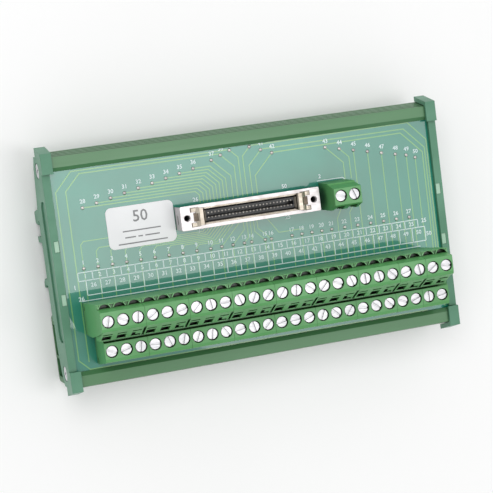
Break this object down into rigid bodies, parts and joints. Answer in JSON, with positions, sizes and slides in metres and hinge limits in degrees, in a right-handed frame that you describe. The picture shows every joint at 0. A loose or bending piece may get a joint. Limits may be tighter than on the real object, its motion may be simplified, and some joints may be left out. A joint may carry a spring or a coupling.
{
  "type": "din rail terminal breakout module",
  "caption": "DIN-rail breakout module: a board in an extruded carrier with clip-on end caps, a half-pitch receptacle and rows of double-deck screw terminals.",
  "frame": {"origin": "under the middle of the module, in the plane of the rail claws' tips", "axes": "+X along the rail, +Y away from the terminal rows, +Z out of the board's front"},
  "size_m": [0.1456, 0.0866, 0.0488],
  "materials": {
    "carrier": "satin",
    "end_cap": "satin",
    "latch": "satin",
    "board": "satin solder mask",
    "terminal_housing": "satin",
    "screw_steel": "bright plated",
    "clamp_metal": "plated",
    "bright_nickel": "bright nickel",
    "insulator": "matte",
    "contact_metal": "tinned",
    "solder": "satin",
    "label": "satin"
  },
  "bodies": {
    "module": {"aux_terminal_housing": "terminal_housing", "aux_terminal_pins": "contact_metal", "base_profile": "carrier", "connector_contacts_lower": "contact_metal", "connector_contacts_upper": "contact_metal", "connector_insulator": "insulator", "connector_jack_nuts": "bright_nickel", "connector_latch_brackets": "bright_nickel", "connector_shell": "bright_nickel", "end_cap_left": "end_cap", "end_cap_right": "end_cap", "end_cap_screws": "screw_steel", "label_plate": "label", "lower_screws_other_blocks": "screw_steel", "lower_terminal_pins": "contact_metal", "lower_wire_clamps_other_blocks": "clamp_metal", "pcb": "board", "terminal_block_1": "terminal_housing", "terminal_block_2": "terminal_housing", "terminal_block_3": "terminal_housing", "terminal_block_4": "terminal_housing", "terminal_block_5": "terminal_housing", "terminal_block_6": "terminal_housing", "terminal_block_7": "terminal_housing", "terminal_block_8": "terminal_housing", "terminal_block_9": "terminal_housing", "test_points": "solder", "upper_screws_other_blocks": "screw_steel", "upper_terminal_pins": "contact_metal", "upper_wire_clamps_other_blocks": "clamp_metal"},
    "din_latch_left": {"din_latch_left": "latch"},
    "din_latch_right": {"din_latch_right": "latch"},
    "upper_screw_1": {"upper_screw_1": "screw_steel"},
    "upper_wire_clamp_1": {"upper_wire_clamp_1": "clamp_metal"},
    "upper_screw_2": {"upper_screw_2": "screw_steel"},
    "upper_wire_clamp_2": {"upper_wire_clamp_2": "clamp_metal"},
    "upper_screw_3": {"upper_screw_3": "screw_steel"},
    "upper_wire_clamp_3": {"upper_wire_clamp_3": "clamp_metal"},
    "lower_screw_1": {"lower_screw_1": "screw_steel"},
    "lower_wire_clamp_1": {"lower_wire_clamp_1": "clamp_metal"},
    "lower_screw_2": {"lower_screw_2": "screw_steel"},
    "lower_wire_clamp_2": {"lower_wire_clamp_2": "clamp_metal"},
    "lower_screw_3": {"lower_screw_3": "screw_steel"},
    "lower_wire_clamp_3": {"lower_wire_clamp_3": "clamp_metal"},
    "aux_screw_1": {"aux_screw_1": "screw_steel"},
    "aux_wire_clamp_1": {"aux_wire_clamp_1": "clamp_metal"},
    "aux_screw_2": {"aux_screw_2": "screw_steel"},
    "aux_wire_clamp_2": {"aux_wire_clamp_2": "clamp_metal"}
  },
  "joints": [
    {"name": "din_latch_left_slide", "type": "slide", "parent": "module", "child": "din_latch_left", "axis": [0, -1, 0], "range_m": [0, 0.003], "stiffness_N_per_m": 1500, "springref_m": -0.002},
    {"name": "din_latch_right_slide", "type": "slide", "parent": "module", "child": "din_latch_right", "axis": [0, -1, 0], "range_m": [0, 0.003], "stiffness_N_per_m": 1500, "springref_m": -0.002},
    {"name": "upper_wire_clamp_1_rise", "type": "slide", "parent": "module", "child": "upper_wire_clamp_1", "axis": [0, 0, 1], "range_m": [0, 0.0017]},
    {"name": "upper_screw_1_turn", "type": "hinge", "parent": "module", "child": "upper_screw_1", "pos_m": [-0.06223, -0.01556, 0.0475], "axis": [0, 0, -1], "range_deg": [0, 1225]},
    {"name": "upper_wire_clamp_2_rise", "type": "slide", "parent": "module", "child": "upper_wire_clamp_2", "axis": [0, 0, 1], "range_m": [0, 0.0017]},
    {"name": "upper_screw_2_turn", "type": "hinge", "parent": "module", "child": "upper_screw_2", "pos_m": [-0.05715, -0.01556, 0.0475], "axis": [0, 0, -1], "range_deg": [0, 1225]},
    {"name": "upper_wire_clamp_3_rise", "type": "slide", "parent": "module", "child": "upper_wire_clamp_3", "axis": [0, 0, 1], "range_m": [0, 0.0017]},
    {"name": "upper_screw_3_turn", "type": "hinge", "parent": "module", "child": "upper_screw_3", "pos_m": [-0.05207, -0.01556, 0.0475], "axis": [0, 0, -1], "range_deg": [0, 1225]},
    {"name": "lower_wire_clamp_1_rise", "type": "slide", "parent": "module", "child": "lower_wire_clamp_1", "axis": [0, 0, 1], "range_m": [0, 0.0017]},
    {"name": "lower_screw_1_turn", "type": "hinge", "parent": "module", "child": "lower_screw_1", "pos_m": [-0.05969, -0.02735, 0.0352], "axis": [0, 0, -1], "range_deg": [0, 1225]},
    {"name": "lower_wire_clamp_2_rise", "type": "slide", "parent": "module", "child": "lower_wire_clamp_2", "axis": [0, 0, 1], "range_m": [0, 0.0017]},
    {"name": "lower_screw_2_turn", "type": "hinge", "parent": "module", "child": "lower_screw_2", "pos_m": [-0.05461, -0.02735, 0.0352], "axis": [0, 0, -1], "range_deg": [0, 1225]},
    {"name": "lower_wire_clamp_3_rise", "type": "slide", "parent": "module", "child": "lower_wire_clamp_3", "axis": [0, 0, 1], "range_m": [0, 0.0017]},
    {"name": "lower_screw_3_turn", "type": "hinge", "parent": "module", "child": "lower_screw_3", "pos_m": [-0.04953, -0.02735, 0.0352], "axis": [0, 0, -1], "range_deg": [0, 1225]},
    {"name": "aux_wire_clamp_1_rise", "type": "slide", "parent": "module", "child": "aux_wire_clamp_1", "axis": [0, 0, 1], "range_m": [0, 0.0017]},
    {"name": "aux_screw_1_turn", "type": "hinge", "parent": "module", "child": "aux_screw_1", "pos_m": [0.02836, 0.013, 0.0357], "axis": [0, 0, -1], "range_deg": [0, 1225]},
    {"name": "aux_wire_clamp_2_rise", "type": "slide", "parent": "module", "child": "aux_wire_clamp_2", "axis": [0, 0, 1], "range_m": [0, 0.0017]},
    {"name": "aux_screw_2_turn", "type": "hinge", "parent": "module", "child": "aux_screw_2", "pos_m": [0.03344, 0.013, 0.0357], "axis": [0, 0, -1], "range_deg": [0, 1225]}
  ],
  "couplings": [
    {"joint": "upper_screw_1_turn", "follows": "upper_wire_clamp_1_rise", "rad_per_m": 12566},
    {"joint": "upper_screw_2_turn", "follows": "upper_wire_clamp_2_rise", "rad_per_m": 12566},
    {"joint": "upper_screw_3_turn", "follows": "upper_wire_clamp_3_rise", "rad_per_m": 12566},
    {"joint": "lower_screw_1_turn", "follows": "lower_wire_clamp_1_rise", "rad_per_m": 12566},
    {"joint": "lower_screw_2_turn", "follows": "lower_wire_clamp_2_rise", "rad_per_m": 12566},
    {"joint": "lower_screw_3_turn", "follows": "lower_wire_clamp_3_rise", "rad_per_m": 12566},
    {"joint": "aux_screw_1_turn", "follows": "aux_wire_clamp_1_rise", "rad_per_m": 12566},
    {"joint": "aux_screw_2_turn", "follows": "aux_wire_clamp_2_rise", "rad_per_m": 12566}
  ]
}
